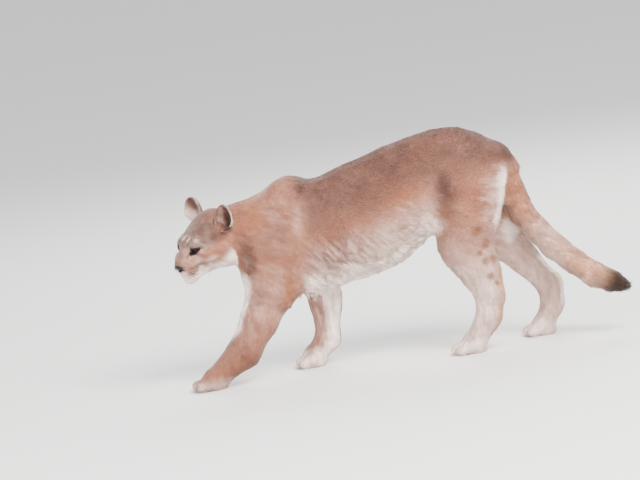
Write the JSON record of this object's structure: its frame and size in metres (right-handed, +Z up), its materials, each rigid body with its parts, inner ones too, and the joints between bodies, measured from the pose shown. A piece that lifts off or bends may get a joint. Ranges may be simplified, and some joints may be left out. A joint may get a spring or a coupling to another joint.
{
  "type": "cougar",
  "caption": "Life-size still model of a young cougar walking with its head low and turned, tail hanging, for museum display.",
  "frame": {"origin": "on the floor, below the middle of the model's extent along and across", "axes": "+X from the head towards the tail, +Y towards the animal's right side, +Z up"},
  "size_m": [1.3432, 0.2676, 0.6828],
  "materials": {
    "tawny_fur": "short tawny fur",
    "pale_fur": "short pale fur",
    "dark_fur": "short dark fur",
    "nose_leather": "bare moist nose skin",
    "eye": "glossy dark amber eye"
  },
  "bodies": {
    "root": {"abdomen": "tawny_fur", "chest": "tawny_fur", "ear_left": "tawny_fur", "ear_right": "tawny_fur", "eye_left": "eye", "eye_right": "eye", "forearm_left": "tawny_fur", "forearm_right": "tawny_fur", "forepaw_left": "pale_fur", "forepaw_right": "pale_fur", "head": "tawny_fur", "hind_foot_left": "pale_fur", "hind_foot_right": "pale_fur", "hindpaw_left": "pale_fur", "hindpaw_right": "pale_fur", "neck": "tawny_fur", "nose": "nose_leather", "rump": "tawny_fur", "shank_left": "tawny_fur", "shank_right": "tawny_fur", "tail_base": "tawny_fur", "tail_middle": "tawny_fur", "tail_tip": "dark_fur", "thigh_left": "tawny_fur", "thigh_right": "tawny_fur", "upper_arm_left": "tawny_fur", "upper_arm_right": "tawny_fur"}
  },
  "joints": []
}
